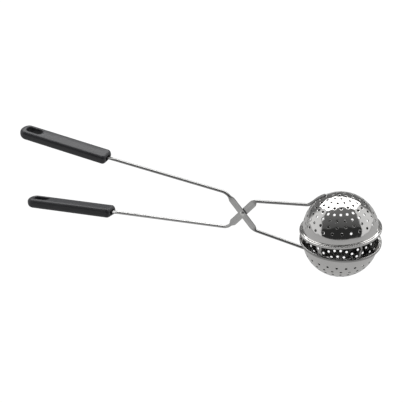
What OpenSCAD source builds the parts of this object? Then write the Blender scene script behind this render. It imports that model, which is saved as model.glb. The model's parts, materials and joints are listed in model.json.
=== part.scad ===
// Scissor tea infuser: two crossed wire arms riveted together, each with a moulded
// handle at one end and one half of a perforated steel ball at the other.
// X runs from the handles to the ball, Y is the rivet's axis and Z is up.
// The origin is the middle of the ball, midway between the two cups.

/* [Pose] */
// Angle each arm stands open from the closed ball, in degrees
open_angle = 2.84; // [0:0.01:20]

/* [Wire arms] */
// Diameter of the round wire
wire_d = 2; // [1.8:0.05:2.1]
// Distance from the pivot to the bend on the handle side
handle_bend = 16.7; // [15.5:0.1:20]
// Distance from the pivot to the bend on the ball side
ball_bend = 13.5; // [12.5:0.1:17]
// Slope of the lap when the ball is closed, in degrees
lap_angle = 46.25; // [40:0.25:52]
// Slope of the handle-side wire when the ball is closed, in degrees
handle_angle = 2.25; // [0:0.25:6]
// Slope of the ball-side wire when the ball is closed, in degrees
ball_angle = 5.5; // [3:0.25:8]
// Bare wire between the handle-side bend and the handle
wire_reach = 85; // [60:1:110]
// Radius of the handle-side bend, to the middle of the wire
handle_bend_r = 5; // [3.5:0.25:6]
// Radius of the ball-side bend and of the bend at the cup, to the middle of the wire
ball_bend_r = 3; // [2.5:0.25:4]

/* [Flattened stretches] */
// Width of the lap that carries the rivet
lap_w = 4.6; // [3.8:0.1:4.8]
// Thickness of the lap
lap_t = 0.7; // [0.6:0.05:0.9]
// Gap between the two laps
lap_gap = 0.06; // [0.02:0.01:0.1]
// Half the length of the fully flattened lap
lap_half = 10.6; // [9:0.1:11]
// Width of the strap welded to the cup
strap_w = 2.8; // [2.4:0.1:3.2]
// Thickness of the strap welded to the cup
strap_t = 1.1; // [0.9:0.05:1.2]
// Angle from the cup's rim to the strap's end, around the cup, in degrees
strap_end = 67; // [55:1:72]
// Width of the tang held in the handle
tang_w = 3; // [2.6:0.1:3.4]
// Thickness of the tang held in the handle
tang_t = 1; // [0.9:0.05:1.2]
// Length of the tang inside the handle
tang_len = 26; // [15:1:32]

/* [Rivet] */
// Diameter of the rivet's shank
rivet_d = 1.8; // [1.5:0.1:2]
// Diameter of the rivet's heads
head_d = 3.2; // [2.8:0.1:3.4]
// Height of the rivet's heads
head_h = 0.7; // [0.5:0.05:0.9]
// Running clearance around the shank and under the closing head
run_gap = 0.05; // [0.02:0.01:0.1]

/* [Ball] */
// Distance from the pivot to the middle of the ball
ball_reach = 65.8; // [62:0.1:72]
// Outside radius of each cup
cup_r = 23.2; // [22:0.1:24]
// Thickness of the sheet
sheet_t = 0.5; // [0.4:0.05:0.6]
// Outside radius of the rims
rim_r = 25; // [24.8:0.1:26]
// Height of the turned edge of each rim
rim_h = 1.5; // [1.2:0.1:2]
// Diameter of the strainer holes
hole_d = 1.6; // [1.2:0.1:1.8]
// Angle between neighbouring rings of holes, in degrees
ring_step = 9.9; // [9:0.1:10]
// Rings of holes around the one at the pole
rings = 7; // [4:1:7]
// Most holes in a ring
ring_max = 24; // [18:6:24]
// Turn of the lower cup's hole pattern about its axis, in degrees
bowl_turn = 9.5; // [0:0.5:15]
// Turn of the upper cup's hole pattern about its axis, in degrees
dome_turn = -1.5; // [-15:0.5:15]

/* [Handles] */
// Length of each handle
handle_len = 66.4; // [55:0.1:80]
// Width of each handle
handle_w = 11; // [9:0.1:12]
// Height of each handle, across the flat faces
handle_h = 6.4; // [5.4:0.1:7]
// Radius of the long edges
edge_r = 2.2; // [1:0.1:2.4]
// Radius around the wire end of each handle
nose_r = 2.5; // [1.5:0.1:2.6]
// Length of the hanging slot
slot_len = 11.6; // [8:0.1:16]
// Width of the hanging slot
slot_w = 4.8; // [3.5:0.1:5]
// Distance from the handle's tip to the slot
slot_tip = 4.7; // [4:0.1:8]
// Roll of the upper handle on its wire, in degrees
upper_roll = 5.4; // [-10:0.1:10]
// Roll of the lower handle on its wire, in degrees
lower_roll = -7.9; // [-10:0.1:10]
// Pitch of the upper handle on its wire, in degrees
upper_pitch = 1.2; // [0.8:0.1:2]

/* [Hidden] */
$fn = 64;

eps = 0.01;
slice = 0.1;                      // thickness of the end faces a flattened stretch grows from
seam = 0.06;                      // how far a stretch of wire runs into the one beside it
swell = 0.12;                     // how much thicker each bend is than the straights beside it
blend = 3;                        // length over which round wire turns into a flat
tang_out = 3;                     // flat tang that shows between the handle and the wire
pocket_gap = 0.03;                // clearance around the tang in its pocket
mouth_w = 5;                      // recess in the handle's end, around the tang
mouth_h = 2.8;
ring_turns = [6.5, 11.5, 15, 7.5, 0, 0, 7.5];   // turn of each ring of holes, from the pole out
mouth_depth = 1.2;
bite = 0.2;                       // how far the strap is drawn into the cup before it is cut to it
weld_blend = 7;                   // degrees of cup over which the wire flattens onto it

// Points of the wire's middle line, as [x, z] in the closed pose
u_handle = [cos(handle_angle), -sin(handle_angle)];
u_lap = [cos(lap_angle), -sin(lap_angle)];
u_ball = [cos(ball_angle), -sin(ball_angle)];
p_handle = -handle_bend * u_lap;
tang_at = p_handle - wire_reach * u_handle;
p_ball = ball_bend * u_lap;
ball_mid = [ball_reach, 0];

// Room each bend takes off the straight stretches beside it
cut_handle = handle_bend_r * tan((lap_angle - handle_angle) / 2);
cut_ball = ball_bend_r * tan((lap_angle - ball_angle) / 2);

// The bend at the cup: its middle touches the ball-side wire and the cup's outside
side_ball = [u_ball.y, -u_ball.x];
wire_ring = cup_r + wire_d / 2;
from_mid = p_ball + ball_bend_r * side_ball - ball_mid;
along = -from_mid * u_ball
    - sqrt(pow(from_mid * u_ball, 2) - (from_mid * from_mid - pow(wire_ring + ball_bend_r, 2)));
p_weld = p_ball + along * u_ball;
weld_mid = p_weld + ball_bend_r * side_ball;
weld_dir = weld_mid - ball_mid;
weld_angle = atan2(weld_dir.y, weld_dir.x);          // place on the cup, below the rim's plane

arm_y = -(lap_t + lap_gap) / 2;   // each wire's own plane
pivot = [-ball_reach * cos(open_angle), 0, 0];
ring_end = -(180 - strap_end);

// Places its children at p in the arm's plane, with their X axis at slope a
module at(p, a) {
    translate([p.x, 0, p.y]) rotate([0, -a, 0]) children();
}

// Places its children at the handle's wire end, with their X axis along the handle
module at_handle(roll, pitch) {
    at(tang_at, 180 - handle_angle - pitch) rotate([-roll, 0, 0]) children();
}

// Round wire from p to q, and on into the stretches at both ends
module straight(p, q) {
    d = q - p;
    at(p, atan2(d.y, d.x)) translate([-seam, 0, 0]) rotate([0, 90, 0])
        cylinder(d = wire_d, h = norm(d) + 2 * seam);
}

// Round wire bent about c at radius r, from angle a0 to a1
module bend(c, r, a0, a1) {
    translate([c.x, 0, c.y]) rotate([90, 0, 0]) rotate([0, 0, a0])
        rotate_extrude(angle = a1 - a0) translate([r, 0]) circle(d = wire_d + swell);
}

// The angle that takes a bend of radius r on into a flattened stretch
function seam_angle(r) = seam / r * 180 / PI;

// A thin slice of round wire along the local Z axis
module wire_slice() {
    cylinder(d = wire_d + 2 * swell, h = slice, $fn = 32);
}

// A flat bar along the local X axis from x0 to x1, w wide along Y and t thick, with soft edges
module flat_bar(x0, x1, w, t) {
    translate([x0, 0, 0]) rotate([90, 0, 90]) linear_extrude(x1 - x0) soft_rect(w, t, t * 0.3);
}

// A rectangle with rounded corners
module soft_rect(w, h, r) {
    square([w - 2 * r, h], center = true);
    square([w, h - 2 * r], center = true);
    for (x = [-1, 1], y = [-1, 1])
        translate([x * (w / 2 - r), y * (h / 2 - r)]) circle(r = r);
}

// Everything of one arm but its rivet hole: tang, wire, lap and welded strap
module arm_solid(roll, pitch) {
    // Tang, and its change to round wire
    at_handle(roll, pitch) {
        flat_bar(-tang_out, tang_len, tang_w, tang_t);
        hull() {
            flat_bar(-tang_out, -tang_out + slice, tang_w, tang_t, $fn = 16);
            rotate([roll, 0, 0]) rotate([0, -pitch, 0]) rotate([-roll, 0, 0])
                translate([-tang_out - blend, 0, 0]) rotate([0, 90, 0]) wire_slice();
        }
    }
    straight(tang_at + (tang_out + blend) * u_handle, p_handle - cut_handle * u_handle);
    bend(p_handle - cut_handle * u_handle + handle_bend_r * [u_handle.y, -u_handle.x],
         handle_bend_r, 90 - handle_angle, 90 - lap_angle);
    straight(p_handle + cut_handle * u_lap, -(lap_half + blend) * u_lap);
    // Lap, flat in the arm's plane, and its change to round wire at both ends
    at([0, 0], -lap_angle) {
        rotate([90, 0, 0]) flat_bar(-lap_half, lap_half, lap_w, lap_t);
        hull() {
            rotate([90, 0, 0]) flat_bar(-lap_half, -lap_half + slice, lap_w, lap_t, $fn = 16);
            translate([-lap_half - blend, 0, 0]) rotate([0, 90, 0]) wire_slice();
        }
        hull() {
            rotate([90, 0, 0]) flat_bar(lap_half - slice, lap_half, lap_w, lap_t, $fn = 16);
            translate([ball_bend - cut_ball - slice, 0, 0]) rotate([0, 90, 0]) wire_slice();
        }
    }
    bend(p_ball + cut_ball * u_ball - ball_bend_r * side_ball,
         ball_bend_r, -90 - lap_angle - seam_angle(ball_bend_r), -90 - ball_angle);
    straight(p_ball + cut_ball * u_ball, p_weld);
    weld_strap();
}

// The wire's end: the bend at the cup, and the strap flattened along the cup's outside
module weld_strap() {
    start = weld_angle + weld_blend;
    difference() {
        bend(weld_mid, ball_bend_r, 90 - ball_angle,
             weld_angle + 180 - seam_angle(ball_bend_r));
        translate([ball_mid.x, -arm_y, ball_mid.y]) sphere(r = cup_r, $fn = 96);
    }
    difference() {
        translate([ball_mid.x, 0, ball_mid.y]) rotate([90, 0, 0]) {
            rotate([0, 0, start]) rotate_extrude(angle = ring_end - start)
                translate([cup_r + (strap_t - bite) / 2, 0])
                    soft_rect(strap_t + bite, strap_w, strap_t * 0.3);
            rotate([0, 0, ring_end]) translate([cup_r - bite, 0, 0]) rotate([0, 90, 0])
                cylinder(d = strap_w - swell, h = strap_t + bite - swell / 2);
            hull() {
                rotate([0, 0, start + 1]) translate([cup_r + (strap_t - bite) / 2, 0, 0])
                    rotate([90, 0, 0]) linear_extrude(slice)
                        soft_rect(strap_t + bite - swell, strap_w - swell, strap_t * 0.3, $fn = 16);
                rotate([0, 0, weld_angle]) translate([wire_ring, 0, 0])
                    rotate([-90, 0, 0]) wire_slice();
            }
        }
        translate([ball_mid.x, -arm_y, ball_mid.y]) sphere(r = cup_r, $fn = 96);
    }
}

// The bowl's arm stands as drawn; the dome's arm is the same part turned over
module bowl_side() {
    translate(pivot) rotate([0, open_angle, 0]) children();
}
module dome_side() {
    translate(pivot) rotate([180, 0, 0]) rotate([0, open_angle, 0]) children();
}

// An arm in its own plane, with a rivet hole of diameter d
module arm(roll, pitch, d) {
    translate([0, arm_y, 0]) difference() {
        arm_solid(roll, pitch);
        rotate([90, 0, 0]) cylinder(d = d, h = 2 * lap_t, center = true);
    }
}

// Half a ball with its pole down and its rim's plane at z = 0
module cup_profile(rim) {
    difference() {
        union() {
            difference() {
                circle(r = cup_r);
                translate([-cup_r, 0]) square([2 * cup_r, cup_r]);
            }
            translate([0, -rim_h]) square([rim_r, rim_h]);
        }
        circle(r = cup_r - sheet_t);
        // What the rim leaves out: a step up to the skirt, or room under the turned edge
        if (rim == "skirt")
            translate([0, -rim_h + sheet_t]) square([rim_r - sheet_t, rim_h]);
        else
            difference() {
                translate([0, -rim_h - eps]) square([rim_r - sheet_t, rim_h - sheet_t + eps]);
                circle(r = cup_r);
            }
        translate([-rim_r, -2 * rim_r]) square([rim_r, 3 * rim_r]);
    }
}

// One strainer cup with its rings of holes
module cup(rim, turn) {
    difference() {
        rotate_extrude($fn = 96) cup_profile(rim);
        rotate([180, 0, turn]) {
            hole();
            for (k = [1 : rings])
                for (i = [0 : ring_count(k) - 1])
                    rotate([0, 0, ring_turns[k - 1] + i * 360 / ring_count(k)])
                        rotate([0, k * ring_step, 0]) hole();
        }
    }
}
module hole() {
    translate([0, 0, cup_r - 3 * sheet_t]) cylinder(d = hole_d, h = 5 * sheet_t, $fn = 24);
}

// Six more holes in each ring out from the pole, up to the most a ring holds
function ring_count(k) = min(6 * k, ring_max);

// A handle along the local X axis from its wire end, with its flats facing Z
module handle_solid() {
    tip_at = handle_len - handle_w / 2;
    difference() {
        intersection() {
            union() {
                rotate([90, 0, 90]) linear_extrude(tip_at) soft_rect(handle_w, handle_h, edge_r);
                translate([tip_at, 0, 0]) rotate_extrude() intersection() {
                    soft_rect(handle_w, handle_h, edge_r);
                    translate([0, -handle_h]) square([handle_w, 2 * handle_h]);
                }
            }
            // Rounding of the wire end, seen from the side and from above
            rotate([90, 0, 0]) linear_extrude(2 * handle_w, center = true)
                nose_outline(handle_h);
            linear_extrude(2 * handle_h, center = true) nose_outline(handle_w);
        }
        // Hanging slot
        for (x = [handle_len - slot_tip - slot_len + slot_w / 2,
                  handle_len - slot_tip - slot_w / 2])
            translate([x, 0, 0]) cylinder(d = slot_w, h = 2 * handle_h, center = true);
        translate([handle_len - slot_tip - slot_len / 2, 0, 0])
            cube([slot_len - slot_w, slot_w, 2 * handle_h], center = true);
        // Pocket for the tang, and the recess around its mouth
        flat_bar(-eps, tang_len + pocket_gap, tang_w + 2 * pocket_gap, tang_t + 2 * pocket_gap);
        flat_bar(-eps, mouth_depth, mouth_w, mouth_h);
    }
}
module nose_outline(w) {
    translate([handle_len / 2 + nose_r, 0]) square([handle_len, w], center = true);
    translate([0, -w / 2 + nose_r]) square([handle_len, w - 2 * nose_r]);
    for (y = [-1, 1]) translate([nose_r, y * (w / 2 - nose_r)]) circle(r = nose_r);
}
module handle(roll, pitch) {
    translate([0, arm_y, 0]) at_handle(roll, pitch) handle_solid();
}

// A low domed head of the rivet, standing on z = 0
module rivet_head() {
    dome_r = (pow(head_d / 2, 2) + pow(head_h, 2)) / (2 * head_h);
    intersection() {
        translate([0, 0, head_h - dome_r]) sphere(r = dome_r, $fn = 96);
        cylinder(d = 2 * head_d, h = head_h);
    }
}

module bowl_arm_wire() { color("silver") bowl_side() arm(upper_roll, upper_pitch, rivet_d); }
module dome_arm_wire() {
    color("gainsboro") dome_side() arm(lower_roll, 0, rivet_d + 2 * run_gap);
}
module pivot_rivet() {
    outer = lap_gap / 2 + lap_t;
    color("white") translate(pivot) rotate([90, 0, 0]) {
        translate([0, 0, -outer - run_gap]) cylinder(d = rivet_d, h = 2 * outer + run_gap);
        translate([0, 0, outer]) rivet_head();
        translate([0, 0, -outer - run_gap]) mirror([0, 0, 1]) rivet_head();
    }
}
module strainer_bowl() {
    color("lightsteelblue") bowl_side() translate([ball_reach, 0, 0]) cup("flange", bowl_turn);
}
module strainer_dome() {
    color("lightblue") dome_side() translate([ball_reach, 0, 0]) cup("skirt", dome_turn);
}
module upper_handle() { color("dimgray") bowl_side() handle(upper_roll, upper_pitch); }
module lower_handle() { color("gray") dome_side() handle(lower_roll, 0); }

bowl_arm_wire();
dome_arm_wire();
pivot_rivet();
strainer_bowl();
strainer_dome();
upper_handle();
lower_handle();
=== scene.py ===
"""Scissor tea infuser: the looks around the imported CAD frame. Lengths are in millimetres and
angles in degrees until a mesh is placed; placed meshes are in metres, in the CAD's frame."""
import json
import math

import bmesh
import bpy
import numpy as np
from mathutils import Matrix, Vector
from mathutils.geometry import delaunay_2d_cdt


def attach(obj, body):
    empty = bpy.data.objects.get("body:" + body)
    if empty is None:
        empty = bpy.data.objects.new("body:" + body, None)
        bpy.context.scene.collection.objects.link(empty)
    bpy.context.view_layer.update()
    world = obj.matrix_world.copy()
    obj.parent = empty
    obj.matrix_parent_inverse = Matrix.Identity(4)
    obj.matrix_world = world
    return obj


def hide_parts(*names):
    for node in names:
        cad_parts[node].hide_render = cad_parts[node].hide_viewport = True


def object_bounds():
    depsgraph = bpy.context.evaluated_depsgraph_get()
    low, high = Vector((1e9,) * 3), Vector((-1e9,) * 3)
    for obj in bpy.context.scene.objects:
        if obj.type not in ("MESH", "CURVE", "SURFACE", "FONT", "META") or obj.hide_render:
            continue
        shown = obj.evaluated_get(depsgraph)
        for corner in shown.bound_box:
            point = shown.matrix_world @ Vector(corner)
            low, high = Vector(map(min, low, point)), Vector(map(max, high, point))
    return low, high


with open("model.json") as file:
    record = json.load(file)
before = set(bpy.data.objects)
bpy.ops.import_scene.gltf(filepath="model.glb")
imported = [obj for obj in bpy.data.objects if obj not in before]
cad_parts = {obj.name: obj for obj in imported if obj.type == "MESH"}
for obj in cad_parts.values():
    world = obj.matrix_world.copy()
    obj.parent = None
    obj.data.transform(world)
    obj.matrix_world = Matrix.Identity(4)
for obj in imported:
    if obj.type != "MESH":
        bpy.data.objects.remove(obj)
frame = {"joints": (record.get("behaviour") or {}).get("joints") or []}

cad_lo, cad_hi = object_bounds()
MM = 0.001

# ---------------------------------------------------------------- sizes
# These are the CAD's, apart from the ones marked "looks", which the CAD lacks or has sharper.
OPEN = 2.84                                    # each arm's opening at rest
WIRE_R = 1.0
WIRE_REACH, HANDLE_BEND = 85.0, 16.7           # handle's mouth to the bend, bend to the pivot
BALL_BEND, BALL_REACH = 13.5, 65.8             # pivot to the bend, pivot to the ball's middle
HANDLE_SLOPE, LAP_SLOPE, BALL_SLOPE = 2.25, 46.25, 5.5
HANDLE_BEND_R = 7.5                            # looks: 5 in the CAD
BALL_BEND_R = 3.0
BLEND, LAP_BLEND = 3.0, 3.4                    # lengths over which the wire turns flat
LAP_W, LAP_T, LAP_GAP, LAP_HALF = 4.6, 0.7, 0.06, 10.6
LAP_CLEAR = 2.4                                # plain flat on each side of the rivet's hole
STRAP_W, STRAP_T, STRAP_END = 2.8, 1.1, 67.0
STRAP_SPREAD = 3.2                             # looks: flat by 1/3.2 of the strap's length
TANG_W, TANG_T, TANG_LEN = 3.0, 1.0, 26.0
TANG_OUT = 1.8                                 # looks: flat tang that shows, 3 in the CAD
RIVET_R, HEAD_R, HEAD_H, RUN_GAP = 0.9, 1.6, 0.7, 0.05
CUP_R, SHEET, RIM_R, RIM_H = 23.2, 0.5, 25.0, 1.5
HOLE_R, RING_STEP, RINGS, RING_MAX = 0.8, 9.9, 7, 24
RING_TURNS = (6.5, 11.5, 15.0, 7.5, 0.0, 0.0, 7.5)
BOWL_TURN, DOME_TURN = 9.5, -1.5
DIMPLE, DIMPLE_REACH = 0.035, 0.9              # looks: depth and width of a hole's dimple
HANDLE_LEN, HANDLE_W, HANDLE_H, EDGE_R, NOSE_R = 66.4, 11.0, 6.4, 2.2, 2.5
CROWN = 0.28                                   # looks: how far the flats stand proud
TIP_R = 3.05                                   # looks: edge radius at the very tip
SLOT_LEN, SLOT_W, SLOT_TIP = 11.6, 4.8, 4.7
SLOT_SOFT = 0.7                                # looks: edge radius of the slot
MOUTH_W, MOUTH_H, MOUTH_DEPTH = 5.0, 2.8, 3.0
UPPER_ROLL, LOWER_ROLL = 5.4, -7.9             # of each handle about its wire
UPPER_PITCH, LOWER_PITCH = 1.2, 0.0
ARM_Y = -(LAP_T + LAP_GAP) / 2                 # middle plane of an arm
LAP_AT = WIRE_REACH + HANDLE_BEND              # about how far along the wire the pivot is
PIVOT = np.array(frame["joints"][0]["pos_m"]) / MM


# ---------------------------------------------------------------- small helpers
def rad(a):
    return math.radians(a)


def sind(a):
    return math.sin(rad(a))


def cosd(a):
    return math.cos(rad(a))


def circle(n):
    """Unit vectors at n even steps round a circle."""
    return [(math.cos(2 * math.pi * k / n), math.sin(2 * math.pi * k / n)) for k in range(n)]


def unit(v):
    return v / np.linalg.norm(v)


def shift(x, y, z):
    m = np.eye(4)
    m[:3, 3] = x, y, z
    return m


def turn(axis, angle):
    return np.array(Matrix.Rotation(rad(angle), 4, axis))


def axes(x, y, z, origin):
    """An object's matrix with those axes, at that origin."""
    m = np.eye(4)
    m[:3, 0], m[:3, 1], m[:3, 2], m[:3, 3] = x, y, z, origin
    return Matrix(m.tolist())


def heading(slope):
    """Unit vector at that slope in an arm's own plane, as (x, z)."""
    return np.array([cosd(slope), sind(slope)])


def ease(t):
    t = np.clip(t, 0, 1)
    return t * t * (3 - 2 * t)


BOWL_SIDE = shift(*PIVOT) @ turn("Y", OPEN)
DOME_SIDE = shift(*PIVOT) @ turn("X", 180) @ turn("Y", OPEN)


def piece(name, shape, place, body, node, material):
    """A finished piece that rides on body. shape is its vertices in mm in their own frame, its
    faces and, if it has them, its normals and run. run is the coordinates in mm that the
    materials use, by default the vertices' own. place is a 4x4."""
    verts, faces, normals, run = (*shape, None, None)[:4]
    verts = np.asarray(verts, float)
    placed = (verts @ place[:3, :3].T + place[:3, 3]) * MM
    mesh = bpy.data.meshes.new(name)
    mesh.from_pydata(placed.tolist(), [], [tuple(int(i) for i in f) for f in faces])
    bm = bmesh.new()
    bm.from_mesh(mesh)
    bmesh.ops.recalc_face_normals(bm, faces=bm.faces)
    bm.to_mesh(mesh)
    bm.free()
    mesh.update()
    mesh.polygons.foreach_set("use_smooth", [True] * len(mesh.polygons))
    if normals is None:
        normals = area_normals(mesh)
    else:
        normals = np.asarray(normals, float) @ place[:3, :3].T
    normals = normals / np.maximum(np.linalg.norm(normals, axis=1), 1e-12)[:, None]
    mesh.normals_split_custom_set_from_vertices(normals.tolist())
    run = verts if run is None else np.asarray(run, float)
    attribute = mesh.attributes.new("run", "FLOAT_VECTOR", "POINT")
    attribute.data.foreach_set("vector", run.astype(np.float32).ravel())
    mesh.materials.append(material)
    obj = bpy.data.objects.new(name, mesh)
    bpy.context.scene.collection.objects.link(obj)
    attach(obj, body)
    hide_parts(node)


def area_normals(mesh):
    """Vertex normals weighted by face area, so that large flats stay flat."""
    total = np.zeros((len(mesh.vertices), 3))
    for p in mesh.polygons:
        n = np.array(p.normal) * p.area
        for i in p.vertices:
            total[i] += n
    return total


def loft(loops):
    """Quads between closed rings of equal length, given as lists of vertex numbers."""
    faces = []
    for a, b in zip(loops, loops[1:]):
        n = len(a)
        faces += [(a[i], a[(i + 1) % n], b[(i + 1) % n], b[i]) for i in range(n)]
    return faces


def fill(places, loops, spare=(), keep=None):
    """Triangles over 2D places that respect closed loops of vertex numbers; spare numbers are
    free points, and keep(x, y) at its middle says whether a triangle stays."""
    ids = [i for loop in loops for i in loop] + list(spare)
    edges, at = [], 0
    for loop in loops:
        n = len(loop)
        edges += [(at + i, at + (i + 1) % n) for i in range(n)]
        at += n
    points = [Vector(places[i]) for i in ids]
    _, _, tris, source, _, _ = delaunay_2d_cdt(points, edges, [], 0, 1e-7)
    faces = [tuple(ids[source[i][0]] for i in t) for t in tris]
    return [f for f in faces if keep is None or keep(*np.mean([places[i] for i in f], axis=0))]


def rounded_path(corners):
    """(points, normals) of a path through (r, z, radius) corners, with an arc at each one but
    the first and the last; the normal is to the left of the path."""
    c = np.array([p[:2] for p in corners], float)
    pts, nrm = [c[0]], [unit(c[1] - c[0])[::-1] * (-1, 1)]
    for i, (_, _, radius) in list(enumerate(corners))[1:-1]:
        a, b = unit(c[i] - c[i - 1]), unit(c[i + 1] - c[i])
        full = math.atan2(a[0] * b[1] - a[1] * b[0], a @ b)
        cut = radius * math.tan(abs(full) / 2)
        side = 1 if full > 0 else -1
        centre = c[i] - cut * a + side * radius * np.array([-a[1], a[0]])
        steps = max(3, int(abs(math.degrees(full)) / 15))
        for k in range(steps + 1):
            t = math.atan2(a[1], a[0]) + full * k / steps
            left = np.array([-math.sin(t), math.cos(t)])
            pts.append(centre - side * radius * left)
            nrm.append(left)
    return np.array(pts + [c[-1]]), np.array(nrm + [unit(c[-1] - c[-2])[::-1] * (-1, 1)])


# ---------------------------------------------------------------- wire arms
def section(half_w, half_t, corner):
    """Rounded rectangle as (points, normals), going round from +w. Its arcs stop a little short
    of its flats, so that points never meet on a round section."""
    steps, trim = 8, 2.0
    pts, nrm = [], []
    for q, (sx, sy) in enumerate(((1, 1), (-1, 1), (-1, -1), (1, -1))):
        for k in range(steps + 1):
            t = q * 90 + trim + (90 - 2 * trim) * k / steps
            pts.append((sx * (half_w - corner) + corner * cosd(t),
                        sy * (half_t - corner) + corner * sind(t)))
            nrm.append((cosd(t), sind(t)))
    return pts, nrm


def arm_path():
    """The wire's middle line in the arm's own plane, as (s, x, z, slope) rows with s from 0 at
    the handle's mouth; s at the pivot; and s where the strap starts to flatten."""
    u_handle, u_lap, u_ball = heading(-HANDLE_SLOPE), heading(-LAP_SLOPE), heading(-BALL_SLOPE)
    handle_turn, ball_turn = LAP_SLOPE - HANDLE_SLOPE, LAP_SLOPE - BALL_SLOPE
    handle_cut = HANDLE_BEND_R * math.tan(rad(handle_turn) / 2)
    ball_cut = BALL_BEND_R * math.tan(rad(ball_turn) / 2)
    p_handle, p_ball = -HANDLE_BEND * u_lap, BALL_BEND * u_lap
    # the last bend touches the ball's wire and the circle that the strap follows
    ball = np.array([BALL_REACH, 0.0])
    down = np.array([u_ball[1], -u_ball[0]])
    ring = CUP_R + WIRE_R
    from_ball = p_ball + BALL_BEND_R * down - ball
    b = from_ball @ u_ball
    along = -b - math.sqrt(b * b - (from_ball @ from_ball - (ring + BALL_BEND_R) ** 2))
    weld_mid = p_ball + along * u_ball + BALL_BEND_R * down
    weld = math.degrees(math.atan2(*(weld_mid - ball)[::-1]))
    weld_turn = weld + 90 + BALL_SLOPE
    strap = STRAP_END - 180 - weld                      # angle of the cup that it covers
    runs = [  # length, turn, longest step
        (TANG_LEN + WIRE_REACH - handle_cut, 0, 1.0),
        (HANDLE_BEND_R * rad(handle_turn), -handle_turn, 0.35),
        (HANDLE_BEND + BALL_BEND - handle_cut - ball_cut, 0, 0.5),
        (BALL_BEND_R * rad(ball_turn), ball_turn, 0.25),
        (along - ball_cut, 0, 1.0),
        (BALL_BEND_R * rad(abs(weld_turn)), weld_turn, 0.25),
        (ring * rad(strap), strap, 0.35)]
    p = p_handle - (WIRE_REACH + TANG_LEN) * u_handle
    slope, s = -HANDLE_SLOPE, -TANG_LEN
    rows, ends = [(s, p[0], p[1], slope)], []
    for length, bend, step in runs:
        n = max(2, int(math.ceil(length / step)))
        for _ in range(n):
            chord = length / n
            if bend:
                r = length / rad(abs(bend))
                chord = 2 * r * math.sin(rad(abs(bend)) / n / 2)
            p = p + chord * heading(slope + bend / n / 2)
            slope, s = slope + bend / n, s + length / n
            rows.append((s, p[0], p[1], slope))
        ends.append(s)
    lap_mid = ends[1] + HANDLE_BEND - handle_cut
    weld_from = ends[4] + 0.5 * (ends[5] - ends[4])
    return np.array(rows), lap_mid, weld_from


def arm_rows():
    """The path, with no rows across the rivet's hole and finer ones at the strap's round end."""
    rows, lap_mid, weld_from = arm_path()
    rows = rows[abs(rows[:, 0] - lap_mid) > LAP_CLEAR + 0.1]
    for s in (lap_mid - LAP_CLEAR, lap_mid + LAP_CLEAR):
        u = heading(-LAP_SLOPE) * (s - lap_mid)
        rows = np.vstack([rows, [s, u[0], u[1], -LAP_SLOPE]])
    rows = rows[np.argsort(rows[:, 0])]
    end = rows[-1, 0]
    fine = []
    for k in range(1, 10):
        s = end - STRAP_W / 2 * (1 - sind(90 * k / 10))
        fine.append([s] + [np.interp(s, rows[:, 0], rows[:, c]) for c in (1, 2, 3)])
    return np.vstack([rows[rows[:, 0] <= end - STRAP_W / 2], fine, rows[-1:]]), lap_mid, weld_from


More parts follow.
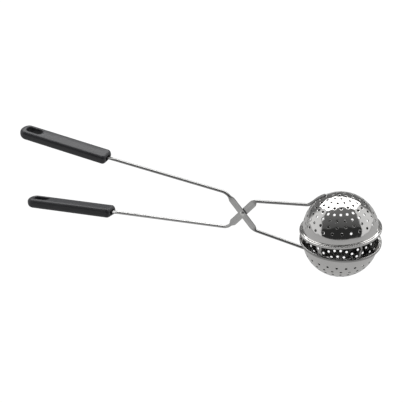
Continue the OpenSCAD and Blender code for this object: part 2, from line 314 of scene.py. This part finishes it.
def arm_mesh(roll, pitch):
    """One wire arm: tang, round wire, flattened lap with its rivet hole, wire and welded strap.
    Its run is (s along the wire, across the arm, in the arm's plane)."""
    rows, lap_mid, weld_from = arm_rows()
    end = rows[-1, 0]
    verts, faces, normals, run, loops = [], [], [], [], []
    for s, x, z, slope in rows:
        tang = 1 - ease((s - TANG_OUT) / BLEND)
        lap = 1 - ease((abs(s - lap_mid) - LAP_HALF) / LAP_BLEND)
        strap = ease((s - weld_from) / (end - weld_from) * STRAP_SPREAD)
        half_y = (WIRE_R + (TANG_W / 2 - WIRE_R) * tang + (LAP_T / 2 - WIRE_R) * lap
                  + (STRAP_W / 2 - WIRE_R) * strap)
        half_n = (WIRE_R + (TANG_T / 2 - WIRE_R) * tang + (LAP_W / 2 - WIRE_R) * lap
                  + (STRAP_T / 2 - WIRE_R) * strap)
        if end - s < STRAP_W / 2:                       # the strap's round end
            part = 1 - (end - s) / (STRAP_W / 2)
            half_y = max(0.06, math.sqrt(max(0.0, 1 - part ** 2)) * STRAP_W / 2)
        corner = min(half_y, half_n) * (1 - 0.12 * max(lap, strap, tang))
        up = heading(slope + 90)
        drop = (WIRE_R - STRAP_T / 2) * strap           # the strap lies on the cup
        sag = math.tan(rad(pitch)) * -min(s, 0.0)       # the tang follows the handle's pitch
        centre = np.array([x, z]) + (drop + sag) * up
        c, si = cosd(roll * tang), sind(roll * tang)
        loop = []
        for (pn, py), (nn, ny) in zip(*section(half_n, half_y, corner)):
            xz = centre + (pn * c - py * si) * up
            loop.append(len(verts))
            verts.append([xz[0], ARM_Y + pn * si + py * c, xz[1]])
            in_plane = nn * c - ny * si
            normals.append([in_plane * up[0], nn * si + ny * c, in_plane * up[1]])
            run.append([s, py, pn])
        loops.append(loop)
    hole = next(k for k, row in enumerate(rows) if abs(row[0] - lap_mid + LAP_CLEAR) < 1e-6)
    arc = len(loops[0]) // 4
    flats = {arc - 1: 1, 3 * arc - 1: -1}               # first point of each flat, and its side
    for k, (a, b) in enumerate(zip(loops, loops[1:])):
        n = len(a)
        faces += [(a[i], b[i], b[(i + 1) % n], a[(i + 1) % n]) for i in range(n)
                  if k != hole or i not in flats]
    rims = []
    for i, side in flats.items():
        a, b = loops[hole], loops[hole + 1]
        corners = [a[i], b[i], b[i + 1], a[i + 1]]
        outer, inner = [], []
        for dx, dz in circle(32):
            for ring, r, inset, tilt in ((outer, RIVET_R + 0.12, 0, 0),
                                         (inner, RIVET_R + 0.05, 0.06, 1)):
                ring.append(len(verts))
                verts.append([r * dx, ARM_Y + side * (LAP_T / 2 - inset), r * dz])
                normals.append([-dx * tilt, side * (1 - tilt), -dz * tilt])
                run.append([lap_mid + r * dx, 0, r * dz])
        places = {v: (verts[v][0], verts[v][2]) for v in corners + outer}
        faces += [t for t in fill(places, [corners, outer]) if not set(t) <= set(outer)]
        rims.append((outer, inner))
    (outer_1, inner_1), (outer_2, inner_2) = rims
    faces += loft([outer_1, inner_1, inner_2, outer_2])
    faces += [tuple(loops[0]), tuple(loops[-1])]
    return verts, faces, normals, run


# ---------------------------------------------------------------- strainer cups
# A cup hangs below the ball's middle, which is its origin.
RIM_EDGE = rad(83.5)                          # angle from the bottom at which the rim starts
HOLE_BASE = 1.1                               # radius at which a hole's own rings start


def below(b, t):
    """Unit vector at b radians from straight down and t radians round the cup."""
    return np.array([math.sin(b) * math.cos(t), math.sin(b) * math.sin(t), -math.cos(b)])


def hole_directions(turned):
    """Unit vectors to the strainer holes: one at the bottom, and rings round it."""
    out = [np.array([0, 0, -1.0])]
    spin = turn("Z", turned)[:3, :3] @ turn("X", 180)[:3, :3]
    for k in range(1, RINGS + 1):
        n = min(6 * k, RING_MAX)
        for i in range(n):
            m = turn("Z", RING_TURNS[k - 1] + i * 360 / n) @ turn("Y", k * RING_STEP)
            out.append(spin @ m[:3, :3] @ np.array([0, 0, 1.0]))
    return np.array(out)


def dimple(dirs, holes):
    """Depth of the soft dimple round the nearest punched hole, and the slope it gives the skin."""
    arc = np.arccos(np.clip(dirs @ holes.T, -1, 1)) * CUP_R
    near = arc.argmin(1)
    t = np.maximum(arc[np.arange(len(dirs)), near] - HOLE_R, 0) / DIMPLE_REACH
    depth = DIMPLE * np.exp(-t * t)
    slope = DIMPLE * 2 * t / DIMPLE_REACH * np.exp(-t * t)
    away = dirs - holes[near] * (dirs * holes[near]).sum(1)[:, None]
    away = away - dirs * (away * dirs).sum(1)[:, None]
    away = away / np.maximum(np.linalg.norm(away, axis=1), 1e-9)[:, None]
    return depth, slope[:, None] * away


def skin(holes):
    """Directions and triangles that the cup's outer and inner faces share; the loop of
    directions round each hole; and the loop at the rim."""
    dirs, loops = [], []
    for h in holes:
        e1 = unit(np.cross(h, [0.31, 0.77, 0.55]))      # any direction that isn't a hole's
        e2 = np.cross(h, e1)
        rho = HOLE_BASE / CUP_R
        loops.append(list(range(len(dirs), len(dirs) + 20)))
        dirs += [math.cos(rho) * h + math.sin(rho) * (c * e1 + s * e2) for c, s in circle(20)]
    around = 180
    rim_loop = list(range(len(dirs), len(dirs) + around))
    dirs += [below(RIM_EDGE, 2 * math.pi * k / around) for k in range(around)]
    first_spare = len(dirs)
    step = rad(2.0)
    rows = int(RIM_EDGE / step)
    for j in range(1, rows):
        b = RIM_EDGE * j / rows
        n = max(6, int(round(2 * math.pi * math.sin(b) / step)))
        for i in range(n):
            d = below(b, 2 * math.pi * (i + 0.5 * (j % 2)) / n)
            if (holes @ d).max() < math.cos((HOLE_BASE + 0.42) / CUP_R):
                dirs.append(d)
    places = {}                                         # the cup rolled out flat
    for i, d in enumerate(dirs):
        b, r = math.acos(max(-1, min(1, -d[2]))), math.hypot(d[0], d[1]) or 1
        places[i] = (b * d[0] / r, b * d[1] / r)
    hole_of = {i: k for k, loop in enumerate(loops) for i in loop}
    tris = [t for t in fill(places, loops + [rim_loop], range(first_spare, len(dirs)))
            if hole_of.get(t[0]) is None or len({hole_of.get(i) for i in t}) > 1]
    return np.array(dirs), tris, loops, rim_loop


def rim_corners(rim):
    """The rim's section as (r, z, radius) corners, from the cup's outer face to its inner one."""
    outer = (CUP_R * math.sin(RIM_EDGE), -CUP_R * math.cos(RIM_EDGE), 0)
    inner = ((CUP_R - SHEET) * math.sin(RIM_EDGE), -(CUP_R - SHEET) * math.cos(RIM_EDGE), 0)
    if rim == "skirt":
        step_r = math.sqrt(CUP_R ** 2 - RIM_H ** 2)
        return [outer, (step_r, -RIM_H, 0.4), (RIM_R, -RIM_H, 0.42), (RIM_R, 0, 0.12),
                (RIM_R - SHEET, 0, 0.12), (RIM_R - SHEET, -RIM_H + SHEET, 0.15),
                (step_r - SHEET, -RIM_H + SHEET, 0.5), inner]
    return [outer, (CUP_R, -SHEET, 0.35), (RIM_R - SHEET, -SHEET, 0.12),
            (RIM_R - SHEET, -RIM_H, 0.12), (RIM_R, -RIM_H, 0.12), (RIM_R, 0, 0.45),
            (CUP_R - SHEET, 0, 0.3), inner]


def cup_mesh(rim, turned):
    """One cup: perforated skin, and a rim that is a "skirt" or a "flange"."""
    holes = hole_directions(turned)
    dirs, tris, loops, rim_loop = skin(holes)
    verts, normals, faces = [], [], []

    def add(p, n):
        verts.append(p)
        normals.append(n)
        return len(verts) - 1

    depth, tilted = dimple(dirs, holes)
    for d, dep, away in zip(dirs, depth, tilted):
        add(d * (CUP_R - dep), d - away)
    for d, dep, away in zip(dirs, depth, tilted):
        add(d * (CUP_R - SHEET - dep), away - d)
    n_dirs = len(dirs)
    for t in tris:
        faces += [t, tuple(i + n_dirs for i in t)]
    # each hole: rolled edge, wall and inner edge
    for h, loop in zip(holes, loops):
        rings = [loop]
        for grow, inset, tilt in ((0.07, 0.01, 20), (0.02, 0.045, 55), (0, 0.11, 90),
                                  (0, 0.43, 90), (0.05, 0.495, 140)):
            ring = []
            for i in loop:
                u = unit(dirs[i] - h * (dirs[i] @ h))
                rho = (HOLE_R + grow) / CUP_R
                q = math.cos(rho) * h + math.sin(rho) * u
                n = cosd(tilt) * q - sind(tilt) * (u - q * (u @ q))
                ring.append(add(q * (CUP_R - DIMPLE - inset), n))
            rings.append(ring)
        faces += loft(rings + [[i + n_dirs for i in loop]])
    # the rim's own profile; the sheet lies to the left of its path
    rings = [rim_loop]
    for (r, z), (nr, nz) in list(zip(*rounded_path(rim_corners(rim))))[1:-1]:
        rings.append([add((r * c, r * s, z), (-nr * c, -nr * s, -nz))
                      for c, s in circle(len(rim_loop))])
    faces += loft(rings + [[i + n_dirs for i in rim_loop]])
    return verts, faces, normals


# ---------------------------------------------------------------- handles
FLAT_N, ARC_N, SIDE_N = 6, 7, 5                         # steps on a flat, an arc and a side
TURN_N = ARC_N + SIDE_N + ARC_N                         # from the top flat to the bottom one


def handle_loop(half_w, half_h, corner):
    """Section of the handle as (y, z) points: top flat, arc, side, arc, bottom flat and back."""
    pts = []
    for q in range(4):
        half, out, n = (half_w, half_h, FLAT_N) if q % 2 == 0 else (half_h, half_w, SIDE_N)
        flat = half - corner
        quarter = [(-flat + 2 * flat * k / n, out) for k in range(n)]
        quarter += [(flat + corner * sind(90 * k / ARC_N),
                     out - corner + corner * cosd(90 * k / ARC_N)) for k in range(ARC_N)]
        c, s = cosd(-90 * q), sind(-90 * q)
        pts += [(y * c - z * s, y * s + z * c) for y, z in quarter]
    return pts


def handle_mesh():
    """A handle along +X from its mouth, with its flats facing +-Z."""
    verts = []
    hw, hh, flat_w = HANDLE_W / 2, HANDLE_H / 2, HANDLE_W / 2 - EDGE_R
    body_x, centre_x = 7.0, HANDLE_LEN - hw             # ends of the plain straight stretch
    slot_0 = HANDLE_LEN - SLOT_TIP - SLOT_LEN + SLOT_W / 2
    slot_1 = HANDLE_LEN - SLOT_TIP - SLOT_W / 2

    def add(x, y, z):
        verts.append([x, y, z])
        return len(verts) - 1

    def ring(x, half_w, half_h, corner):
        return [add(x, y, z) for y, z in handle_loop(half_w, half_h, corner)]

    # from the bottom of the mouth, out of it over its lip, and over the nose to the body
    lip, lip_at, taper = 0.3, 0.2, 0.15
    deep = MOUTH_DEPTH - 0.2
    loops = [ring(MOUTH_DEPTH, TANG_W / 2 - 0.1, TANG_T / 2 - 0.05, 0.15),
             ring(MOUTH_DEPTH, MOUTH_W / 2 - 0.45, MOUTH_H / 2 - 0.4, 0.4),
             ring(deep, MOUTH_W / 2 - 0.25, MOUTH_H / 2 - 0.2, 0.5)]
    for k in range(1, 4):
        loops.append(ring(deep * (1 - k / 3) + (lip_at + lip) * k / 3,
                          MOUTH_W / 2 - 0.25 + taper * k / 3,
                          MOUTH_H / 2 - 0.2 + taper * k / 3, 0.55))
    for k in range(1, 6):
        grow = lip * (1 - cosd(18 * k))
        loops.append(ring(lip_at + lip * (1 - sind(18 * k)), MOUTH_W / 2 - 0.1 + grow,
                          MOUTH_H / 2 - 0.05 + grow, 0.55 + grow))
    for k in range(11):
        t = 28 + 62 * k / 10
        inset = NOSE_R * (1 - sind(t))
        loops.append(ring(NOSE_R * (1 - cosd(t)), hw - inset, hh - inset,
                          min(EDGE_R + 0.15 * inset, hh - inset - 0.02)))
    for x in (NOSE_R + 1.2, NOSE_R + 3.0, body_x):
        loops.append(ring(x, hw, hh, EDGE_R))
    faces = loft(loops) + [tuple(loops[0])]

    # sides: from each point of the +y side, along, round the tip and back on the -y side
    last = loops[-1]
    right = last[FLAT_N:FLAT_N + TURN_N + 1]
    left = (last[2 * FLAT_N + TURN_N:] + last[:1])[::-1]
    xs = np.linspace(body_x, centre_x, 24)[1:]
    tip_section = handle_loop(hw, hh, TIP_R)[FLAT_N:FLAT_N + TURN_N + 1]
    levels = []
    for right_id, left_id, (tip_y, tip_z) in zip(right, left, tip_section):
        _, y, z = verts[right_id]
        row = [right_id] + [add(x, y, z) for x in xs]
        for t in np.linspace(0, 180, 37)[1:-1]:
            at_tip = sind(t) ** 2
            out, height = y + (tip_y - y) * at_tip, z + (tip_z - z) * at_tip
            row.append(add(centre_x + out * sind(t), out * cosd(t), height))
        levels.append(row + [add(x, -y, z) for x in xs[::-1]] + [left_id])
    for a, b in zip(levels, levels[1:]):
        faces += [(a[i], b[i], b[i + 1], a[i + 1]) for i in range(len(a) - 1)]

    # hanging slot: soft edges and wall
    def slot_ring(grow, z):
        r, ids = SLOT_W / 2 + grow, []
        for end, other, side in ((slot_1, slot_0, 1), (slot_0, slot_1, -1)):
            ids += [add(end + r * cosd(180 * k / 16 - 90 * side),
                        r * sind(180 * k / 16 - 90 * side), z) for k in range(17)]
            ids += [add(x, side * r, z) for x in np.linspace(end, other, 7)[1:-1]]
        return ids

    def from_slot(x, y):
        return math.hypot(max(0, x - slot_1) + max(0, slot_0 - x), y)

    soft = [(SLOT_SOFT * (1 - sind(18 * k)), hh - SLOT_SOFT * (1 - cosd(18 * k)))
            for k in range(6)]
    rings = [slot_ring(grow, z) for grow, z in soft] + [slot_ring(0, 0.9), slot_ring(0, -0.9)]
    rings += [slot_ring(grow, -z) for grow, z in soft[::-1]]
    faces += loft(rings)

    # the two flats, between the slot, the sides and the body's end
    slot_edge = SLOT_W / 2 + SLOT_SOFT
    top = last[:FLAT_N + 1]
    bottom = last[FLAT_N + TURN_N:2 * FLAT_N + TURN_N + 1][::-1]
    for side, hole, line, level in ((1, rings[0], top, levels[0]),
                                    (-1, rings[-1], bottom, levels[-1])):
        outline = level + line[1:-1]
        free = []
        for x in np.linspace(body_x, HANDLE_LEN - EDGE_R, 32)[1:-1]:
            limit = (flat_w if x < centre_x else hw - TIP_R) - 0.25
            for y in np.linspace(-flat_w, flat_w, 7)[1:-1]:
                from_middle = math.hypot(max(0, x - centre_x), y)
                if from_middle < limit and from_slot(x, y) > slot_edge + 0.2:
                    free.append(add(x, y, side * hh))
        places = {i: tuple(verts[i][:2]) for i in outline + hole + free}
        faces += fill(places, [outline, hole], free,
                      lambda x, y: from_slot(x, y) > slot_edge - 0.02)
    for v in verts:
        if abs(v[2]) > hh - 1e-6:
            across = min(flat_w, math.hypot(max(0.0, v[0] - centre_x), v[1])) / flat_w
            crown = CROWN * (1 - across * across) * ease((v[0] - NOSE_R) / 4)
            v[2] += math.copysign(crown, v[2])
    return verts, faces


def handle_place(side, roll, pitch):
    """Where a handle sits, with its mouth at s = 0 of its arm's wire."""
    p = -HANDLE_BEND * heading(-LAP_SLOPE) - WIRE_REACH * heading(-HANDLE_SLOPE)
    place = side @ shift(p[0], ARM_Y, p[1])
    return place @ turn("Y", -(180 - HANDLE_SLOPE - pitch)) @ turn("X", -roll)


# ---------------------------------------------------------------- rivet
def rivet_mesh():
    """Lathe about the local Z axis: closing head, shank and factory head."""
    outer, edge, n = LAP_GAP / 2 + LAP_T, 0.16, 48
    dome_r = (HEAD_R ** 2 + HEAD_H ** 2) / (2 * HEAD_H)

    def head(z, side):
        full = math.asin((HEAD_R - edge * 0.6) / dome_r)
        pts = [(dome_r * math.sin(full * k / 14),
                z + side * (HEAD_H - dome_r * (1 - math.cos(full * k / 14)))) for k in range(15)]
        return pts + [(HEAD_R, z + side * edge * 0.45), (HEAD_R - 0.03, z + side * 0.03),
                      (HEAD_R - 0.1, z)]

    shank = [(RIVET_R + 0.03, outer), (RIVET_R, outer - 0.04), (RIVET_R, 0.0),
             (RIVET_R, -outer + 0.02), (RIVET_R, -outer - RUN_GAP)]
    verts, loops = [], []
    for r, z in head(outer, 1) + shank + head(-outer - RUN_GAP, -1)[::-1]:
        round_it = circle(n) if r > 1e-9 else [(0, 0)]
        loops.append(list(range(len(verts), len(verts) + len(round_it))))
        verts += [[r * c, r * s, z] for c, s in round_it]
    (top,), (bottom,) = loops[0], loops[-1]
    faces = loft(loops[1:-1])
    for i in range(n):
        faces += [(top, loops[1][i], loops[1][(i + 1) % n]),
                  (loops[-2][i], bottom, loops[-2][(i + 1) % n])]
    return verts, faces


# ---------------------------------------------------------------- materials
def grey(v):
    return (v, v, v, 1)


class Nodes:
    """A short way to write a node tree."""

    def __init__(self, tree):
        self.tree = tree

    def node(self, kind, **values):
        n = self.tree.nodes.new(kind)
        for k, v in values.items():
            if k in n.inputs.keys():
                self.put(n.inputs[k], v)
            else:
                setattr(n, k, v)
        return n

    def put(self, socket, value):
        if isinstance(value, bpy.types.NodeSocket):
            self.tree.links.new(value, socket)
        else:
            socket.default_value = value

    def run(self, scale=(1, 1, 1)):
        """The mesh's own coordinates in mm, scaled by an (x, y, z) triple."""
        a = self.node("ShaderNodeAttribute", attribute_name="run")
        m = self.node("ShaderNodeVectorMath", operation="MULTIPLY")
        self.put(m.inputs[0], a.outputs["Vector"])
        self.put(m.inputs[1], scale)
        return m.outputs[0]

    def noise(self, vector, scale=1.0, detail=3.0, rough=0.5):
        n = self.node("ShaderNodeTexNoise", Scale=scale, Detail=detail, Roughness=rough)
        self.put(n.inputs["Vector"], vector)
        return n.outputs["Fac"]

    def remap(self, value, a, b, c, d):
        """Value from the range a to b, on the range c to d, and clamped to it."""
        n = self.node("ShaderNodeMapRange")
        for k, v in (("From Min", a), ("From Max", b), ("To Min", c), ("To Max", d)):
            self.put(n.inputs[k], v)
        self.put(n.inputs["Value"], value)
        return n.outputs["Result"]

    def math(self, op, a, b=0.0):
        n = self.node("ShaderNodeMath", operation=op)
        self.put(n.inputs[0], a)
        self.put(n.inputs[1], b)
        return n.outputs[0]

    def mix(self, factor, a, b):
        n = self.node("ShaderNodeMix", data_type="RGBA")
        self.put(n.inputs["Factor"], factor)
        self.put(n.inputs[6], a)
        self.put(n.inputs[7], b)
        return n.outputs[2]

    def bump(self, height, strength, distance, under=None):
        n = self.node("ShaderNodeBump", Strength=strength, Distance=distance)
        self.put(n.inputs["Height"], height)
        if under is not None:
            self.put(n.inputs["Normal"], under)
        return n.outputs[0]

    def surface(self, **values):
        shader = self.tree.nodes["Principled BSDF"]
        for k, v in values.items():
            self.put(shader.inputs[k.replace("_", " ")], v)

    def glow(self, tone, strength):
        """A diffuse grey that also shines by itself."""
        n = self.node("ShaderNodeAddShader")
        self.put(n.inputs[0], self.node("ShaderNodeBsdfDiffuse", Color=grey(tone)).outputs[0])
        own = self.node("ShaderNodeEmission", Color=grey(1), Strength=strength)
        self.put(n.inputs[1], own.outputs[0])
        return n.outputs[0]

    def by_ray(self, seen, other, output):
        """One shader for what the camera sees, another for all other rays."""
        n = self.node("ShaderNodeMixShader")
        self.put(n.inputs[0], self.node("ShaderNodeLightPath").outputs["Is Camera Ray"])
        self.put(n.inputs[1], other)
        self.put(n.inputs[2], seen)
        self.put(self.node(output).inputs[0], n.outputs[0])


def new_material(name):
    material = bpy.data.materials.new(name)
    material.use_nodes = True
    return material, Nodes(material.node_tree)


def polished_steel(name, rim_shade):
    """Mirror-bright sheet with painted shade on the ball's inner faces and hole walls, and, by the
    given amount, on its turned rim.
    """
    material, m = new_material(name)
    wide = m.noise(m.run(), 0.11, 2.0)
    smear = m.noise(m.run(), 0.35, 4.0, 0.6)
    grain = m.noise(m.run((9, 1.2, 1.2)), 1.0, 3.0, 0.6)
    rough = m.math("ADD", m.remap(smear, 0.35, 0.7, 0.045, 0.11),
                   m.remap(grain, 0.4, 0.7, 0.0, 0.02))
    tint = m.mix(m.remap(wide, 0.3, 0.7, 0, 1), (0.70, 0.695, 0.685, 1), (0.75, 0.74, 0.725, 1))
    from_centre = m.node("ShaderNodeVectorMath", operation="LENGTH")
    m.put(from_centre.inputs[0], m.run())
    reach = from_centre.outputs["Value"]
    inner_shade = m.remap(reach, CUP_R - 0.12, CUP_R - 0.05, 1, 0)       # painted shade: inner faces, hole walls
    rim = m.remap(reach, CUP_R + 0.1, CUP_R + 0.3, 0, 1)
    # painted shade: the inner faces and hole walls darkened most of the way to near black
    tint = m.mix(m.math("MULTIPLY", inner_shade, 0.62), tint, grey(0.05))
    # painted shade: the turned rim darkened toward near black, by the amount given for each cup
    tint = m.mix(m.math("MULTIPLY", rim, rim_shade), tint, grey(0.05))
    rough = m.math("ADD", rough, m.math("MULTIPLY", rim, 0.08))
    wavy = m.bump(wide, 0.35, 0.0006)
    fine = m.bump(grain, 0.06, 0.00004, wavy)
    m.surface(Base_Color=tint, Metallic=1.0, Roughness=rough, Normal=fine)
    return material


def drawn_wire(name, near, far):
    """Steel wire with painted shade: darkened to near and far on its round stretches at the handle
    and the ball, and a little where it leaves the handle."""
    material, m = new_material(name)
    streak = m.noise(m.run((0.12, 5.0, 5.0)), 1.0, 4.0, 0.6)
    patch = m.noise(m.run((0.25, 0.4, 0.4)))
    rolled = m.noise(m.run((0.05, 0.3, 1.1)), 1.0, 2.0)
    split = m.node("ShaderNodeSeparateXYZ")
    m.put(split.inputs[0], m.run())
    s = split.outputs[0]
    on_lap, off_lap = LAP_AT - LAP_HALF, LAP_AT + LAP_HALF
    level = m.remap(s, on_lap - 3.0, on_lap, near, 1.0)
    level = m.math("MULTIPLY", level, m.remap(s, off_lap, off_lap + 2.0, 1.0, far))
    level = m.math("MULTIPLY", level, m.remap(s, TANG_OUT, TANG_OUT + 2.5, 0.7, 1.0))
    rough = m.math("ADD", m.remap(streak, 0.35, 0.7, 0.28, 0.40),
                   m.remap(patch, 0.3, 0.7, -0.03, 0.05))
    tint = m.mix(m.remap(streak, 0.3, 0.75, 0, 1), (0.62, 0.62, 0.615, 1), (0.74, 0.735, 0.725, 1))
    tint = m.mix(m.remap(rolled, 0.35, 0.65, 0.22, 0.0), tint, grey(0.3))
    # painted shade: the wire darkened toward black wherever level is below 1
    tint = m.mix(m.math("SUBTRACT", 1.0, level), tint, grey(0.0))
    m.surface(Base_Color=tint, Metallic=1.0, Roughness=rough, Normal=m.bump(streak, 0.25, 0.00003))
    return material


def headed_rivet():
    material, m = new_material("headed_rivet")
    turned = m.noise(m.run((2.2, 2.2, 6.0)))
    tint = m.mix(m.remap(turned, 0.3, 0.7, 0, 1), (0.80, 0.80, 0.79, 1), (0.90, 0.90, 0.88, 1))
    m.surface(Base_Color=tint, Metallic=1.0, Roughness=m.remap(turned, 0.3, 0.7, 0.24, 0.36),
              Normal=m.bump(turned, 0.15, 0.00004))
    return material


def moulded_plastic():
    """Satin charcoal plastic with a fine spark texture, a little lighter and smoother on edges."""
    material, m = new_material("moulded_plastic")
    spark = m.noise(m.run(), 3.2, 3.0, 0.6)
    cloud = m.noise(m.run((0.35, 1, 1)), 0.25)
    worn = m.remap(m.node("ShaderNodeNewGeometry").outputs["Pointiness"], 0.5, 0.58, 0, 1)
    tint = m.mix(m.remap(cloud, 0.3, 0.7, 0, 1),
                 (0.032, 0.033, 0.037, 1), (0.042, 0.043, 0.048, 1))
    tint = m.mix(m.math("MULTIPLY", worn, 0.35), tint, (0.06, 0.061, 0.064, 1))
    rough = m.math("SUBTRACT", m.remap(spark, 0.3, 0.7, 0.36, 0.50),
                   m.math("MULTIPLY", worn, 0.1))
    m.surface(Base_Color=tint, Roughness=rough, IOR=1.5, Normal=m.bump(spark, 0.22, 0.00006))
    return material


# ---------------------------------------------------------------- build
# The bowl cup's arm carries the upper handle, and the dome cup's arm the lower one. near and far
# set the painted shade on the wires, and the last number the painted shade on the rims; both differ
# between the arms in the picture.
plastic = moulded_plastic()
handle = handle_mesh()
for arm, side, hand, roll, pitch, near, far, rim, turned, rim_shade in (
        ("bowl", BOWL_SIDE, "upper", UPPER_ROLL, UPPER_PITCH, 0.64, 0.55, "flange", BOWL_TURN, 0.5),
        ("dome", DOME_SIDE, "lower", LOWER_ROLL, LOWER_PITCH, 0.93, 0.6, "skirt", DOME_TURN, 0.1)):
    body = arm + "_arm"
    piece(arm + "_wire", arm_mesh(roll, pitch), side, body, body + "_wire",
          drawn_wire(arm + "_wire_steel", near, far))
    piece(arm + "_cup", cup_mesh(rim, turned), side @ shift(BALL_REACH, 0, 0), body,
          "strainer_" + arm, polished_steel(arm + "_cup_steel", rim_shade))
    piece(hand + "_grip", handle, handle_place(side, roll, pitch), body,
          hand + "_handle", plastic)
piece("rivet", rivet_mesh(), shift(*PIVOT) @ turn("X", 90), "bowl_arm", "pivot_rivet",
      headed_rivet())

# ---------------------------------------------------------------- camera
# A camera fitted to the picture: where it stands from the pivot, its roll and its focal length.
AZ, EL, ROLL = 27.54, 28.30, 1.91
DIST, OFF_X, OFF_Y = 879.6, 25.51, 7.26
FOCAL_PX, FRAME_PX, SENSOR = 1403.4, 403, 36.0
SHIFT_X, SHIFT_Y = -0.5, 0.15                           # pixels

up = np.array([0, 0, 1.0])
back = np.array([sind(AZ) * cosd(EL), -cosd(AZ) * cosd(EL), sind(EL)])
level = unit(np.cross(-back, up))                       # level, to the right of the picture
away = np.cross(up, level)                              # level, away from the camera
down = np.cross(-back, level)
right = cosd(ROLL) * level + sind(ROLL) * down
down = -sind(ROLL) * level + cosd(ROLL) * down
lens = bpy.data.cameras.new("camera")
lens.sensor_width = SENSOR
lens.lens = FOCAL_PX / FRAME_PX * SENSOR
lens.shift_x, lens.shift_y = SHIFT_X / FRAME_PX, SHIFT_Y / FRAME_PX
lens.clip_start, lens.clip_end = 0.01, 50
camera = bpy.data.objects.new("camera", lens)
eye = PIVOT - OFF_X * right - OFF_Y * down + DIST * back
camera.matrix_world = axes(right, -down, back, eye * MM)
scene = bpy.context.scene
scene.collection.objects.link(camera)
scene.camera = camera

# ---------------------------------------------------------------- studio
scene.view_settings.view_transform = "Standard"
SIDE_WALL, BACK_WALL = 0.78, 0.16                       # brightness of the tent's cloth
DARK_ROOM, DARK_CEILING = 0.03, (0.065, 0.17)           # the room in front, and its ceiling
DOOR_LEFT, DOOR_RIGHT, DOOR_LEAN = 0.52, 0.74, 0.61     # slopes of the opening's edges
CEILING_SLOPE = 0.72
FLOOR_ROOM = 0.11                 # metres, for the lower handle when the ball is wide open
FLOOR_HALF = 4.0                  # metres
FLOOR_SEEN, FLOOR_FILL = 0.06, 0.985                    # what the camera sees of the floor
FLOOR_TONE, FLOOR_LIT = 0.12, 0.38                      # what the steel reflects of it


def studio_world():
    """White to the camera; to all else a light tent, open towards the camera on a dark room."""
    world = bpy.data.worlds.new("studio")
    scene.world = world
    world.use_nodes = True
    m = Nodes(world.node_tree)
    m.tree.nodes.clear()
    direction = m.node("ShaderNodeTexCoord").outputs["Generated"]

    def along(axis):
        n = m.node("ShaderNodeVectorMath", operation="DOT_PRODUCT")
        m.put(n.inputs[0], direction)
        m.put(n.inputs[1], tuple(float(c) for c in axis))
        return n.outputs["Value"]

    u, v, z = along(level), along(away), along(up)
    toward = m.math("MULTIPLY", v, -1.0)
    flank = m.math("MAXIMUM", m.math("MULTIPLY", u, -DOOR_LEFT),
                   m.math("MULTIPLY", u, DOOR_RIGHT))
    front = m.math("ADD", toward, m.math("MULTIPLY", z, DOOR_LEAN))
    front = m.remap(m.math("SUBTRACT", front, flank), -0.02, 0.02, 0, 1)
    height = m.math("SUBTRACT", z, m.math("MULTIPLY", toward, CEILING_SLOPE))
    ceiling = m.math("MULTIPLY", m.remap(height, -0.02, 0.02, 0, 1),
                     m.remap(height, 0, 1.2, *DARK_CEILING))
    room = m.math("ADD", ceiling, DARK_ROOM)
    behind = m.math("SUBTRACT", v, m.math("MULTIPLY", m.math("ABSOLUTE", u), 0.75))
    cloth = m.remap(behind, -0.1, 0.1, SIDE_WALL, BACK_WALL)
    value = m.math("ADD", m.math("MULTIPLY", m.math("SUBTRACT", 1.0, front), cloth),
                   m.math("MULTIPLY", front, room))
    tent = m.node("ShaderNodeBackground", Color=value)
    seen = m.node("ShaderNodeBackground", Color=grey(1), Strength=1.1)
    m.by_ray(seen.outputs[0], tent.outputs[0], "ShaderNodeOutputWorld")


def studio_floor():
    mesh = bpy.data.meshes.new("floor")
    half = FLOOR_HALF
    mesh.from_pydata([(-half, -half, 0), (half, -half, 0), (half, half, 0), (-half, half, 0)],
                     [], [(0, 1, 2, 3)])
    floor = bpy.data.objects.new("floor", mesh)
    floor.location.z = cad_lo[2] - FLOOR_ROOM
    scene.collection.objects.link(floor)
    material, m = new_material("pale_floor")
    m.tree.nodes.clear()
    m.by_ray(m.glow(FLOOR_SEEN, FLOOR_FILL), m.glow(FLOOR_TONE, FLOOR_LIT),
             "ShaderNodeOutputMaterial")
    mesh.materials.append(material)


def softbox(centre, lean, wide, tall, radiance):
    """A rectangular area light. centre is metres across, away and up; lean is from flat."""
    light = bpy.data.lights.new("softbox", "AREA")
    light.shape = "RECTANGLE"
    light.size, light.size_y = wide, tall
    light.energy = radiance * wide * tall * math.pi
    obj = bpy.data.objects.new("softbox", light)
    shines_from = sind(lean) * away + cosd(lean) * up
    place = centre[0] * level + centre[1] * away + centre[2] * up
    obj.matrix_world = axes(level, np.cross(shines_from, level), shines_from, place)
    obj.visible_camera = False
    scene.collection.objects.link(obj)


studio_world()
studio_floor()
softbox(centre=(0.05, 0.9, 1.5), lean=40, wide=2.7, tall=1.56, radiance=3.0)
